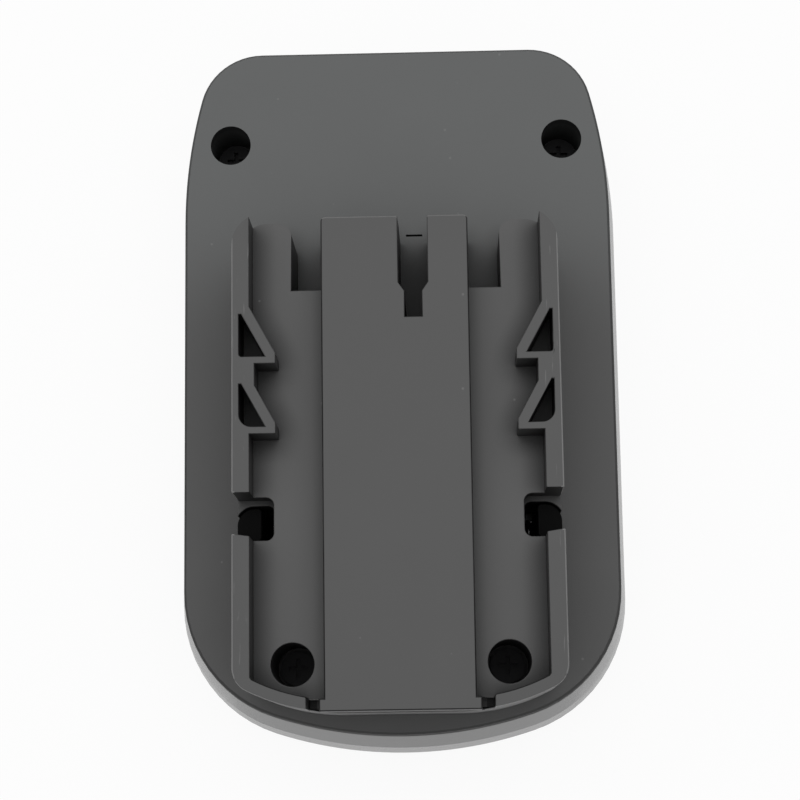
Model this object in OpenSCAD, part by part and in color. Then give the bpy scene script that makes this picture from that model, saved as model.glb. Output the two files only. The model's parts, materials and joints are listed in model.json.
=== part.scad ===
// Slide-on battery adapter: a tool-side shell with a toothed shoe, closed by a battery-side shell.
// Millimetres. +Z is up, out of the tool side. +Y is the way the shoe slides into the tool.
// The origin is the middle of the footprint, on the floor.

/* [Plate] */
// Width of the plate across its straight sides
plate_w = 81; // [78:0.5:90]
// Length of the plate, front to back
plate_l = 130.6; // [128:0.2:140]
// Height of the plate's top face above the floor
plate_z = 26; // [25:0.25:30]
// Thickness of the plate
plate_t = 2.6; // [2:0.1:3]
// Bevel round the plate's top edge
plate_bevel = 0.5; // [0.3:0.05:0.7]
// Radius of the broad front edge
front_arc_r = 77; // [72:1:100]
// Radius of the front corners
front_corner_r = 24; // [20:0.5:26]
// Radius of the back corners
back_corner_r = 12; // [9:0.5:15]
// Radius of the slow curve that draws the sides in towards the back
side_bow_r = 95; // [90:1:140]
// Where the sides begin to draw in
bow_start_y = 32; // [28:0.5:36]

/* [Shells] */
// Wall thickness of both shells
wall = 2.4; // [2:0.1:2.8]
// How far the battery-side shell stands out at the sides
side_flare = 1.9; // [1.5:0.1:2.6]
// How far it stands out at the front and at the back
end_flare = 3.1; // [2.2:0.1:4]
// Height above the floor at which the flare is complete
flare_z = 10.4; // [10.4:0.1:12]
// Ledge of the battery-side shell outside the plate's edge
ledge = 0.2; // [0.15:0.05:0.4]
// Share of the side flare that is complete at the shoulder
side_share = 0.52; // [0.51:0.01:0.8]
// Share of the end flare that is complete at the shoulder
end_share = 0.7; // [0.6:0.01:0.8]
// Bevel round the foot
foot_bevel = 0.5; // [0.3:0.1:0.8]

/* [Shoe] */
// Width over the rails
shoe_w = 58.3; // [57:0.1:60]
// Back end of the shoe
shoe_back_y = 27.1; // [26.5:0.1:29]
// Distance from the plate's front edge to the shoe's front
shoe_inset = 3.6; // [3:0.1:5]
// Channel floor above the plate
floor_h = 16.5; // [15:0.1:18]
// Thickness of the channel floor
floor_t = 2.5; // [2:0.1:3]
// Rails above the channel floor
rail_h = 7.8; // [7:0.1:9]
// Thickness of the side rails
rail_t = 3.15; // [2.8:0.05:3.5]
// Thickness of the front rim
rim_t = 2.2; // [1.6:0.1:2.4]
// Half the gap that the front rim leaves for the tongue
rim_gap = 16.3; // [16:0.1:17.5]
// Half the straight part of the shoe's front
shoe_flat = 10.5; // [9.5:0.5:11.5]
// Radius of the arcs beside that straight part
shoe_arc_r = 36; // [33:1:40]
// Depth of the notches beside the tongue's stop
notch_depth = 2.5; // [1:0.5:4]
// Radius of the shoe's front corners
shoe_front_r = 4.5; // [3.4:0.1:5]
// Radius of the rails' back ends
shoe_back_r = 6; // [4:0.1:6.5]

/* [Teeth] */
// How far a tooth reaches in from its rail
tooth_reach = 4.65; // [4:0.05:5.2]
// Length of a tooth's ramp
tooth_ramp = 8.5; // [7.5:0.1:9]
// Length of a tooth's flat tip
tooth_tip = 1.9; // [1.5:0.1:2.2]
// Square face of the first tooth
tooth_face_y = -0.4; // [-1:0.05:0.5]
// Distance from tooth to tooth
tooth_pitch = 12.6; // [12.5:0.1:13]
// Extra thickness of the rail between the teeth
neck_t = 0.93; // [0.5:0.05:1.2]
// Wall left round the hollow in each tooth
core_wall = 1.3; // [1:0.05:1.4]
// Distance of that hollow from the tooth's tip
core_tip_wall = 1.9; // [1.5:0.05:2]
// Width of the blunt end of each tooth core
core_blunt = 0.4; // [0.2:0.05:0.6]
// Radius at the outer corner of the hollow in the first tooth
core_small_r = 0.5; // [0.3:0.1:0.8]
// Radius at the outer corner of the hollow in the second tooth
core_large_r = 2.2; // [1.6:0.1:2.6]
// Depth of the hollow in each tooth
core_depth = 9.4; // [7:0.1:9.6]

/* [Tongue] */
// Width of the tongue's cap
tongue_w = 26.3; // [25.8:0.1:26.4]
// Distance of the tongue's front behind the shoe's front
tongue_set_back = 0.15; // [0.1:0.05:0.5]
// Radius of the tongue's back corners
tongue_r = 0.8; // [0.5:0.1:1.2]
// Back end of the tongue
tongue_back_y = 26.1; // [25:0.1:26.5]
// Thickness of the overhanging cap
cap_t = 3.2; // [2.8:0.1:4]
// Undercut below the cap, each side
undercut = 2.1; // [1.6:0.1:2.4]
// Length of the full-width block that closes the undercut at the front
tongue_stop = 2.2; // [1.8:0.1:3]
// How far that block stands out beyond the cap, each side
tongue_ear = 0.9; // [0.7:0.1:1.2]
// Middle of the slot, right of the middle of the tongue
slot_x = 3.25; // [3:0.05:3.6]
// Width of the slot's mouth
slot_mouth = 5.3; // [5:0.1:5.6]
// Width of the slot's inner end
slot_w = 3.1; // [2.8:0.1:3.4]
// Where the mouth begins to narrow
slot_narrow_y = 13.9; // [13:0.1:15]
// Length over which it narrows
slot_taper = 1.6; // [1.2:0.1:2]
// Closed end of the slot
slot_end_y = 7.6; // [7:0.1:9]

/* [Pockets] */
// Width of a contact pocket
pocket_w = 5.75; // [5.4:0.05:6]
// Closed end of the pockets
pocket_end_y = 14.5; // [14:0.1:15.5]
// Thickness of the walls round the pockets and the slot
pocket_wall = 1.6; // [1.4:0.1:2]
// Radius at the mouth of the pockets
pocket_r = 2.5; // [1.5:0.1:2.8]
// Width of the blade slit in a pocket's end wall
slit_w = 2; // [1.6:0.1:2.4]

/* [Screw wells] */
// Bore of the screw wells
well_d = 7.7; // [7.4:0.1:8]
// Wells in the plate, from the middle line
back_well_x = 31.75; // [31:0.05:32]
// Wells in the plate, from the middle of the length
back_well_y = 47.15; // [46:0.05:48]
// Wells in the channel floors, from the middle line
front_well_x = 19.15; // [18.8:0.05:19.5]
// Wells in the channel floors, from the middle of the length
front_well_y = -53.1; // [-53.4:0.1:-52]
// Wall of the screw tubes
tube_wall = 1.8; // [1.5:0.1:2]
// Thickness of the seat under a screw head
seat_t = 2; // [1.6:0.1:2.4]
// Shank of a case screw
screw_d = 2.9; // [2.6:0.1:3]
// Length of a case screw below its head
screw_len = 8.6; // [8:0.1:9]
// Head of a case screw
screw_head_d = 6.4; // [5.8:0.1:6.8]

/* [Latch] */
// Middle of the latch windows
latch_y = -27.75; // [-28:0.05:-27]
// Length of the latch windows
window_l = 6.6; // [6.4:0.05:7]
// Inner side of the latch windows
window_in_x = 22.35; // [22:0.05:22.8]
// Radius of the window beside the latch's ramp
window_ramp_r = 3.4; // [2.6:0.1:4]
// Width of the step behind a latch
latch_step = 1.05; // [0.7:0.05:1.2]
// Height of that step above the plate
latch_step_h = 12.6; // [11:0.1:13]
// Travel of a latch
latch_travel = 2.2; // [1.8:0.1:2.3]
// Height of the catch at the foot of a latch post
catch_nose_h = 4.5; // [4:0.1:6]
// How far that catch stands out of the shoe's side
catch_reach = 0.7; // [0.5:0.05:1]
// Slant of the rail's end in front of a latch
rail_slant = 0.45; // [0.2:0.05:0.6]
// How far a release pad reaches into its window
pad_reach = 2.4; // [2:0.1:2.6]
// Length of a release pad
pad_l = 18; // [14:0.5:20]
// Depth of the grip grooves in a release pad
grip_depth = 0.5; // [0.3:0.1:0.6]
// Diameter of a latch spring
spring_d = 5; // [4.6:0.1:5.2]
// Wire of a latch spring
spring_wire = 0.7; // [0.5:0.05:0.8]
// Curls of a latch spring
spring_turns = 6; // [4:1:7]

/* [Battery slide] */
// Width between the lips that hold the battery
lip_gap = 52; // [48:0.5:53]
// Width of the slide above the lips
slide_w = 62; // [60:0.5:62.5]
// Height of the lips
lip_h = 3.5; // [3:0.1:4.5]
// Height of the slide's roof
slide_roof_z = 10; // [9.8:0.1:10.5]
// Closed end of the slide
slide_end_y = 38; // [36:0.5:39]
// Thickness of the blades
blade_t = 0.8; // [0.6:0.1:1]
// Distance of the power blades from the middle line
blade_x = 16; // [14:0.5:17]
// Distance of the signal blades from the middle line
signal_x = 4; // [3:0.5:5]

/* [Board] */
// Width of the circuit board
board_w = 39; // [38:0.5:40]
// Length of the circuit board
board_l = 25; // [24:0.5:26]
// Thickness of the circuit board
board_t = 1.6; // [1.2:0.1:1.8]
// Back edge of the circuit board
board_back_y = 5; // [4:0.1:5.2]
// Diameter of the power leads
lead_d = 2.4; // [1.8:0.1:2.8]

/* [Hidden] */
$fn = 48;

shell_color = [0.30, 0.30, 0.30];
black_color = [0.05, 0.05, 0.05];
steel_color = [0.72, 0.72, 0.72];
copper_color = [0.80, 0.50, 0.28];

// Room left where one piece fits in another, where one slides in another, and past a cut face
fit = 0.1;
slide_fit = 0.35;
past = 1;
arc_steps = 12;
wire_sides = 6;
rings_per_curl = 8;

floor_z = plate_z + floor_h;
top_z = floor_z + rail_h;
plate_under_z = plate_z - plate_t;
floor_under_z = floor_z - floor_t;
rail_in_x = shoe_w / 2 - rail_t;
shoe_front = plate_l / 2 - shoe_inset;
tongue_front = shoe_front - tongue_set_back;
tongue_x = tongue_w / 2;
stop_x = tongue_x + tongue_ear;
neck_x = tongue_x - undercut;
pocket_in_x = tongue_x + fit / 2;
pocket_mid_x = pocket_in_x + pocket_w / 2;
pocket_out_x = pocket_in_x + pocket_w;
slit_low_z = plate_z + wall;
slit_high_z = floor_under_z - wall;
tip_x = rail_in_x - tooth_reach;
tube_d = well_d + 2 * tube_wall;
rim_corner_r = 0.5;
notch_wall = 0.4;
vent_gap = 1.3;
vent_w = 0.4;

// Screws
head_h = 2.2;
drive_w = 0.8;
drive_share = 0.55;
screw_hole_d = screw_d + 6 * fit;
pilot_d = screw_d + fit;
post_d = screw_d + 2 * wall + past;
back_well_depth = 13;
front_seat_z = plate_under_z + seat_t;
back_seat_z = plate_z - back_well_depth;
front_post_z = plate_under_z - fit;
back_post_z = back_seat_z - seat_t - fit;
small_d = 1.9;
small_head_d = 4;
small_head_h = 1.4;
small_pilot_d = small_d + fit;
small_hole_d = small_d + 5 * fit;
small_post_d = 5.6;
small_grip = 5;
tongue_screw_inset = 13.3;
tongue_screw_gap = 38;

// Battery-side shell
shell_top_z = plate_under_z;
shoulder_z = (shell_top_z + flare_z) / 2;
deck_z = slide_roof_z + wall;
inner_x = plate_w / 2 - wall;
catch_w = 18;
catch_l = 8;
catch_h = 5;
catch_y = -52;

// Latch, drawn on the right
window_back_y = latch_y + window_l / 2;
window_front_y = latch_y - window_l / 2;
step_back_y = window_back_y + latch_step;
step_z = plate_z + latch_step_h;
small_r = 1.4;
slide_low_z = deck_z + slide_fit;
slide_high_z = plate_under_z - slide_fit;
latch_in_x = window_in_x + latch_travel + slide_fit;
latch_out_x = shoe_w / 2 + fit;
window_out_x = latch_out_x + slide_fit;
nose_out_x = shoe_w / 2 + catch_reach;
nose_ramp_y = latch_y - small_r;
nose_low_z = plate_z + slide_fit;
nose_high_z = plate_z + catch_nose_h;
latch_top_z = step_z - slide_fit;
stem_l = 10;
wing_reach = 2;
wing_l = pad_l + 2 * wing_reach;
wing_t = 1.6;
wing_out_x = inner_x - fit;
wing_in_x = wing_out_x - wing_t;
hollow_low_z = wall;
wing_low_z = hollow_low_z + slide_fit;
pad_low_z = hollow_low_z + past;
pad_high_z = flare_z - 2 * slide_fit;
pad_out_x = inner_x + pad_reach;
grip_count = 5;
grip_w = 1.2;
grip_pitch = pad_l / (grip_count + 1);
spring_z = (slide_low_z + slide_high_z) / 2;
spring_len = 9.5;
spring_out_x = latch_in_x - fit / 2;
spring_in_x = spring_out_x - spring_len;
rib_t = 2;
rib_out_x = spring_in_x - fit / 2;
rib_half_l = 4;
peg_d = spring_d - 2 * spring_wire - 6 * fit;
peg_l = 2;
guide_t = 1.2;
guide_h = 4;

// Board and what stands on it
board_low_z = plate_z + 4 * fit;
board_top_z = board_low_z + board_t;
board_front_y = board_back_y - board_l;
board_hole_inset = 3;
board_hole_x = board_w / 2 - board_hole_inset;
board_front_hole_y = board_front_y + board_hole_inset;
board_back_hole_x = board_w / 4;
board_back_hole_y = board_back_y - board_hole_inset;
transistor_size = [6.6, 6.1, 2.3];
transistor_tab = [5.2, 2.4, 0.5];
chip_size = [5, 4, 1.5];
chip_lift = 0.1;
leg_size = [0.4, 6, 0.3];
leg_pitch = 1.27;
leg_pairs = 4;
can_d = 8;
can_h = 11;
fuse_size = [4.5, 2.6, 2.2];
fork_h = 9;
fork_t = 0.7;
fork_pinch = 0.45;
fork_mouth = 1.1;
fork_flare_l = 2.5;
power_fork_w = 5;
power_fork_tip_y = pocket_end_y - pocket_wall - 3 * fit;
power_fork_base_y = board_back_y - 2 * board_hole_inset;
signal_fork_w = 4;
signal_fork_tip_y = slot_end_y - pocket_wall - 3 * fit;
signal_fork_base_y = signal_fork_tip_y - fork_h;

// Terminal block and blades
block_w = 44;
block_l = 13;
block_back_y = slide_end_y - fit;
block_front_y = block_back_y - block_l;
block_low_z = 2;
block_high_z = slide_roof_z - fit / 2;
blade_w = 5;
blade_reach = 14;
blade_chamfer = 1.2;
blade_low_z = block_low_z + blade_chamfer;
blade_high_z = blade_low_z + blade_w;
blade_tip_y = block_front_y - blade_reach;
blade_root_y = block_back_y - block_low_z;
tail_l = 5;
tail_top_z = deck_z + lead_d + block_low_z;
signal_tail_l = 3;
signal_set_back = 3;
block_screw_x = 9.5;
block_screw_y = block_front_y + block_l / 2;

// Leads
lead_z = deck_z + lead_d / 2 + 4 * fit;
signal_lead_d = lead_d / 2;
lead_bend = 2;
lead_pad_y = board_back_y - 2 * tail_l;
signal_pad_y = board_back_y - signal_tail_l;

// Points along an arc from angle a0 to a1, leaving out the first skip of them
function arc(c, r, a0, a1, steps, skip = 0) = [for (i = [skip:steps])
    let (a = a0 + (a1 - a0) * i / max(steps, 1)) [c.x + r * cos(a), c.y + r * sin(a)]];

// Shield outline: a broad front, straight or not in the middle, round corners, and straight sides that
// may bow in to the back
function shield(half_w, front, back, arc_r, front_r, back_r, bow_r, bow_y, flat = 0) = let (
    arc_y = arc_r - front,
    fx = half_w - front_r,
    fy = arc_y - sqrt(pow(arc_r - front_r, 2) - pow(fx - flat, 2)),
    front_a = atan2(fy - arc_y, fx - flat),
    bow_x = half_w - bow_r,
    by = back - back_r,
    bx = bow_x + sqrt(pow(bow_r - back_r, 2) - pow(by - bow_y, 2)),
    back_a = atan2(by - bow_y, bx - bow_x),
    right = concat(
        arc([flat, arc_y], arc_r, -90, front_a, arc_steps),
        arc([fx, fy], front_r, front_a, 0, arc_steps, 1),
        arc([bow_x, bow_y], bow_r, 0, back_a, back_a > 1 ? arc_steps : 0),
        arc([bx, by], back_r, back_a, 90, arc_steps, 1)),
    left = [for (i = [len(right) - 1:-1:flat > 0 ? 0 : 1]) [-right[i].x, right[i].y]]
) concat(right, left);

// The plate's outline, grown at the sides and at the ends
function body_outline(side, ends) = shield(plate_w / 2 + side, plate_l / 2 + ends, plate_l / 2 + ends,
    front_arc_r + side, front_corner_r + side, back_corner_r + side, side_bow_r + side, bow_start_y);

// The shoe's outline, grown all round
function shoe_outline(grow) = let (front_r = max(shoe_front_r + grow, 6 * fit), back_r = shoe_back_r + grow)
    shield(shoe_w / 2 + grow, shoe_front + grow, shoe_back_y + grow, shoe_arc_r + grow,
        front_r, back_r, shoe_w, shoe_back_y + grow - back_r, shoe_flat);

// Rectangle with its own radius at each corner, from the back right corner round by the left
function round_box(x0, x1, y0, y1, r) = concat(
    arc([x1 - r[0], y1 - r[0]], r[0], 0, 90, arc_steps),
    arc([x0 + r[1], y1 - r[1]], r[1], 90, 180, arc_steps),
    arc([x0 + r[2], y0 + r[2]], r[2], 180, 270, arc_steps),
    arc([x1 - r[3], y0 + r[3]], r[3], 270, 360, arc_steps));

// Prism of an outline between two heights
module slab(points, z0, z1) {
    translate([0, 0, z0])
        linear_extrude(z1 - z0) polygon(points);
}

// Box between two corners
module block(a, b) {
    translate(a) cube(b - a);
}

module both_sides() {
    for (side = [0, 1])
        mirror([side, 0, 0]) children();
}

// Round rod from a to b
module rod(a, b, d) {
    v = b - a;
    translate(a)
        rotate([0, acos(v.z / norm(v)), atan2(v.y, v.x)])
            cylinder(d = d, h = norm(v));
}

// Insulated lead along a run of points
module lead(points, d) {
    for (i = [0:len(points) - 2])
        rod(points[i], points[i + 1], d);
    for (i = [1:len(points) - 2])
        translate(points[i]) sphere(d = d + fit / 2);
}

// Flat-headed screw with a cross recess, the underside of its head at the origin
module screw(d, len, head_d, head_h) {
    difference() {
        cylinder(d = head_d, h = head_h);
        for (turn = [0, 90])
            rotate(turn)
                translate([-head_d * drive_share / 2, -drive_w / 2, head_h / 2])
                    cube([head_d * drive_share, drive_w, head_h]);
    }
    translate([0, 0, -len]) cylinder(d = d, h = len + head_h / 4);
}

// The four places of the case screws
module at_front_wells() {
    both_sides() translate([front_well_x, front_well_y, 0]) children();
}

module at_back_wells() {
    both_sides() translate([back_well_x, back_well_y, 0]) children();
}

module at_board_holes() {
    both_sides() {
        translate([board_hole_x, board_front_hole_y, 0]) children();
        translate([board_back_hole_x, board_back_hole_y, 0]) children();
    }
}

module at_block_screws() {
    both_sides() translate([block_screw_x, block_screw_y, 0]) children();
}

// The tongue is held at two places on its middle line
module at_tongue_screws() {
    for (y = [0, tongue_screw_gap])
        translate([0, y + tongue_screw_inset - tongue_front, 0]) children();
}

// Funnel-shaped contact slot, open at the back
module slot_shape(grow) {
    mouth = slot_mouth / 2 + grow;
    inner = slot_w / 2 + grow;
    back = shoe_back_y + past;
    translate([slot_x, 0])
        polygon([[-mouth, back], [-mouth, slot_narrow_y - grow],
            [-inner, slot_narrow_y - slot_taper - grow], [-inner, slot_end_y - grow],
            [inner, slot_end_y - grow], [inner, slot_narrow_y - slot_taper - grow],
            [mouth, slot_narrow_y - grow], [mouth, back]]);
}

// Latch window on the right: below, a large radius beside the latch's ramp; above, a notch through the rail
module window_cut() {
    slab(round_box(window_in_x, window_out_x, window_front_y, window_back_y,
        [window_ramp_r, small_r, small_r, small_r / 2]), plate_under_z - past, step_z + past);
    slab(concat(
        arc([window_in_x + small_r, step_back_y - small_r], small_r, 90, 180, arc_steps),
        arc([window_in_x + small_r, window_front_y + small_r], small_r, 180, 270, arc_steps),
        [[rail_in_x, window_front_y], [shoe_w / 2, window_front_y + rail_slant],
            [shoe_w, window_front_y + rail_slant], [shoe_w, step_back_y]]), step_z, top_z + past);
}

// Two ramped teeth on the inside of a rail, with the thicker neck between them
module teeth() {
    slope = tooth_ramp / tooth_reach;
    second_y = tooth_face_y - tooth_pitch;
    first_tip = tooth_face_y + tooth_tip;
    second_tip = second_y + tooth_tip;
    bar_x = rail_in_x - neck_t;
    linear_extrude(rail_h)
        polygon([[rail_in_x + rail_t / 2, first_tip + tooth_ramp], [rail_in_x, first_tip + tooth_ramp],
            [tip_x, first_tip], [tip_x, tooth_face_y], [bar_x, tooth_face_y],
            [bar_x, second_tip + (bar_x - tip_x) * slope], [tip_x, second_tip], [tip_x, second_y],
            [rail_in_x, second_y], [rail_in_x + rail_t / 2, second_y]]);
}

// Three-cornered hollows that core the teeth out
module tooth_cores() {
    slope = tooth_ramp / tooth_reach;
    outer = shoe_w / 2 - core_wall;
    inner = tip_x + core_tip_wall;
    for (tooth = [[tooth_face_y, core_small_r], [tooth_face_y - tooth_pitch, core_large_r]]) {
        low = tooth[0] + core_wall;
        r = tooth[1];
        end_x = outer - core_blunt;
        end_y = low + (end_x - inner) * slope;
        slab(concat(arc([outer - r, low + r], r, -90, 0, arc_steps),
            [[outer, end_y], [end_x, end_y], [inner, low]]), top_z - core_depth, top_z + past);
    }
}

// Side rails and front rim, before the gaps are cut
module rails() {
    inner = shield(rail_in_x, shoe_front - rim_t, shoe_back_y + 2 * rail_t,
        shoe_arc_r - rim_t, rim_corner_r, rim_t, shoe_w, shoe_back_y, shoe_flat);
    translate([0, 0, floor_z])
        linear_extrude(rail_h)
            difference() {
                polygon(shoe_outline(0));
                polygon(inner);
                translate([-rim_gap, -plate_l]) square([2 * rim_gap, plate_l]);
            }
    both_sides() translate([0, 0, floor_z]) teeth();
}

// Inside of the shoe, less the housings of pockets, slot and latches and the tubes of the wells
module shoe_cavity() {
    difference() {
        slab(shoe_outline(-wall), plate_under_z - past, floor_under_z);
        both_sides() {
            block([pocket_in_x - pocket_wall, pocket_end_y - pocket_wall, plate_under_z - 2 * past],
                [pocket_out_x + pocket_wall, shoe_back_y, floor_z]);
            block([window_in_x - pocket_wall, window_front_y - pocket_wall, plate_under_z - 2 * past],
                [shoe_w / 2, step_back_y + pocket_wall, floor_z]);
        }
        at_front_wells() cylinder(d = tube_d, h = floor_z);
        translate([0, 0, plate_under_z - 2 * past])
            linear_extrude(floor_z - plate_under_z) slot_shape(pocket_wall);
    }
}

// Pockets beside the tongue, with the blade slits in their end walls
module pocket_cuts() {
    both_sides() {
        block([pocket_in_x, pocket_end_y, plate_z], [pocket_out_x, shoe_back_y + past, floor_z + past]);
        block([pocket_mid_x - slit_w / 2, pocket_end_y - pocket_wall - past, slit_low_z],
            [pocket_mid_x + slit_w / 2, pocket_end_y + past, slit_high_z]);
        // Rounded edge at the mouth of the pocket
        difference() {
            block([pocket_out_x - past, shoe_back_y - pocket_r, plate_z],
                [pocket_out_x + pocket_r, shoe_back_y + past, floor_z + past]);
            translate([pocket_out_x + pocket_r, shoe_back_y - pocket_r, plate_z - past])
                cylinder(r = pocket_r, h = floor_h + 3 * past);
        }
    }
    translate([0, 0, plate_z])
        linear_extrude(floor_h + past) slot_shape(0);
    block([slot_x - slit_w / 2, slot_end_y - pocket_wall - past, slit_low_z],
        [slot_x + slit_w / 2, slot_end_y + past, slit_high_z]);
}

// Plate with a bevelled top edge
module plate() {
    hull() {
        slab(body_outline(0, 0), plate_under_z, plate_z - plate_bevel);
        slab(body_outline(-plate_bevel, -plate_bevel), plate_z - plate_bevel, plate_z);
    }
}

module tool_side_shell() color(shell_color) {
    difference() {
        union() {
            plate();
            slab(shoe_outline(0), plate_under_z, floor_z);
            rails();
            at_back_wells()
                translate([0, 0, back_seat_z - seat_t])
                    cylinder(d = tube_d, h = plate_under_z - back_seat_z + seat_t);
        }
        shoe_cavity();
        pocket_cuts();
        both_sides() {
            tooth_cores();
            window_cut();
        }
        // Notches between the rim and the tongue's stop
        both_sides()
            intersection() {
                slab(shoe_outline(-notch_wall), floor_z - notch_depth, floor_z + past);
                block([stop_x, -plate_l, 0], [rim_gap, tongue_stop - tongue_front, top_z]);
            }
        // Recess that seats the tongue
        block([-neck_x - fit, wall - tongue_front, floor_z - past],
            [neck_x + fit, tongue_back_y + fit, floor_z + past]);
        // Shallow slit in the plate behind the slot
        block([slot_x - slot_w / 2, shoe_back_y + vent_gap, plate_z - past],
            [slot_x + slot_w / 2, shoe_back_y + vent_gap + vent_w, plate_z + past]);
        at_tongue_screws() cylinder(d = small_hole_d, h = top_z);
        at_front_wells() {
            translate([0, 0, front_seat_z]) cylinder(d = well_d, h = top_z);
            cylinder(d = screw_hole_d, h = top_z);
        }
        at_back_wells() {
            translate([0, 0, back_seat_z]) cylinder(d = well_d, h = top_z);
            cylinder(d = screw_hole_d, h = top_z);
        }
    }
}

module contact_tongue() color(shell_color) {
    core_x = neck_x - wall;
    corners = [tongue_r, tongue_r, fit, fit];
    difference() {
        union() {
            slab(round_box(-tongue_x, tongue_x, -tongue_front, tongue_back_y, corners), top_z - cap_t, top_z);
            slab(round_box(-neck_x, neck_x, -tongue_front, tongue_back_y, corners), floor_z, top_z);
            block([-stop_x, -tongue_front, floor_z], [stop_x, tongue_stop - tongue_front, top_z]);
            block([-neck_x, wall + fit - tongue_front, floor_z - past], [neck_x, tongue_back_y, floor_z]);
        }
        translate([0, 0, floor_z - 2 * past])
            linear_extrude(rail_h + 4 * past) slot_shape(0);
        difference() {
            block([-core_x, 2 * wall - tongue_front, floor_z - 2 * past],
                [core_x, slot_end_y - wall, top_z - wall]);
            at_tongue_screws() cylinder(d = small_post_d, h = top_z);
        }
        at_tongue_screws() cylinder(d = small_pilot_d, h = top_z - wall);
    }
}

// Solid inside the battery-side shell's outer faces: upright below, leaning in to the plate's edge above
module flared_body() {
    hull() {
        slab(body_outline(side_flare - foot_bevel, end_flare - foot_bevel), 0, foot_bevel);
        slab(body_outline(side_flare, end_flare), foot_bevel, flare_z);
        slab(body_outline(ledge + (side_flare - ledge) * side_share, ledge + (end_flare - ledge) * end_share),
            shoulder_z - fit, shoulder_z);
        slab(body_outline(ledge, ledge), shell_top_z - fit, shell_top_z);
    }
}

// The way the battery slides in, from the front and from below
module battery_slide() {
    block([-lip_gap / 2, -plate_l, -past], [lip_gap / 2, slide_end_y, slide_roof_z]);
    block([-slide_w / 2, -plate_l, lip_h], [slide_w / 2, slide_end_y, slide_roof_z]);
}

// Hollow between the slide's walls and the outer wall
module side_hollows() {
    translate([0, 0, hollow_low_z])
        linear_extrude(deck_z)
            difference() {
                polygon(body_outline(-wall, -wall));
                translate([-slide_w / 2 - wall, -plate_l])
                    square([slide_w + 2 * wall, plate_l + slide_end_y + wall]);
            }
}

module latch_seats() {
    both_sides() {
        // Rib and peg that the spring pushes against
        block([rib_out_x - rib_t, latch_y - rib_half_l, deck_z - past],
            [rib_out_x, latch_y + rib_half_l, slide_high_z]);
        translate([rib_out_x - past, latch_y, spring_z])
            rotate([0, 90, 0]) cylinder(d = peg_d, h = peg_l + past);
        // Guides beside the stem
        for (y = [latch_y - stem_l / 2 - slide_fit - guide_t, latch_y + stem_l / 2 + slide_fit])
            block([latch_out_x, y, deck_z - past], [slide_w / 2 + wall, y + guide_t, deck_z + guide_h]);
    }
}

module battery_side_shell() color(shell_color) {
    difference() {
        union() {
            difference() {
                flared_body();
                slab(body_outline(-wall, -wall), deck_z, shell_top_z + past);
                side_hollows();
            }
            at_back_wells() cylinder(d = post_d, h = back_post_z);
            at_front_wells()
                translate([0, 0, deck_z - past])
                    cylinder(d = post_d, h = front_post_z - deck_z + past);
            at_board_holes()
                translate([0, 0, deck_z - past])
                    cylinder(d = small_post_d, h = board_low_z - deck_z + past);
            // Cup for the battery's own latch
            block([-catch_w / 2 - wall, catch_y - catch_l / 2 - wall, deck_z - past],
                [catch_w / 2 + wall, catch_y + catch_l / 2 + wall, slide_roof_z + catch_h + wall]);
            latch_seats();
        }
        battery_slide();
        block([-catch_w / 2, catch_y - catch_l / 2, slide_roof_z - past],
            [catch_w / 2, catch_y + catch_l / 2, slide_roof_z + catch_h]);
        // Windows of the release pads
        both_sides()
            block([inner_x - past, latch_y - pad_l / 2 - slide_fit, pad_low_z - slide_fit],
                [plate_w, latch_y + pad_l / 2 + slide_fit, pad_high_z + slide_fit]);
        // Room for the tubes of the back wells
        at_back_wells() {
            translate([0, 0, back_post_z]) cylinder(d = tube_d + 4 * fit, h = plate_z);
            translate([0, 0, back_seat_z - screw_len - past]) cylinder(d = pilot_d, h = plate_z);
        }
        at_front_wells()
            translate([0, 0, front_seat_z - screw_len - 4 * fit]) cylinder(d = pilot_d, h = plate_z);
        at_board_holes()
            translate([0, 0, deck_z + past]) cylinder(d = small_pilot_d, h = plate_z);
        at_block_screws()
            translate([0, 0, slide_roof_z - past]) cylinder(d = small_hole_d, h = plate_z);
        both_sides() {
            tail_slot(blade_x, tail_l);
            tail_slot(signal_x, signal_tail_l);
        }
    }
}

// Slot through the slide's roof for a blade's tail
module tail_slot(x, len) {
    block([x - blade_t / 2 - fit, blade_root_y - len - fit, slide_roof_z - past],
        [x + blade_t / 2 + fit, blade_root_y + fit, deck_z + past]);
}

// Release pad in its window, grooved for the finger
module release_pad() {
    difference() {
        block([wing_out_x - past, latch_y - pad_l / 2, pad_low_z],
            [pad_out_x, latch_y + pad_l / 2, pad_high_z]);
        for (i = [1:grip_count])
            translate([pad_out_x - grip_depth, latch_y - pad_l / 2 + i * grip_pitch - grip_w / 2, 0])
                cube([past, grip_w, plate_z]);
    }
}

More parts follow.
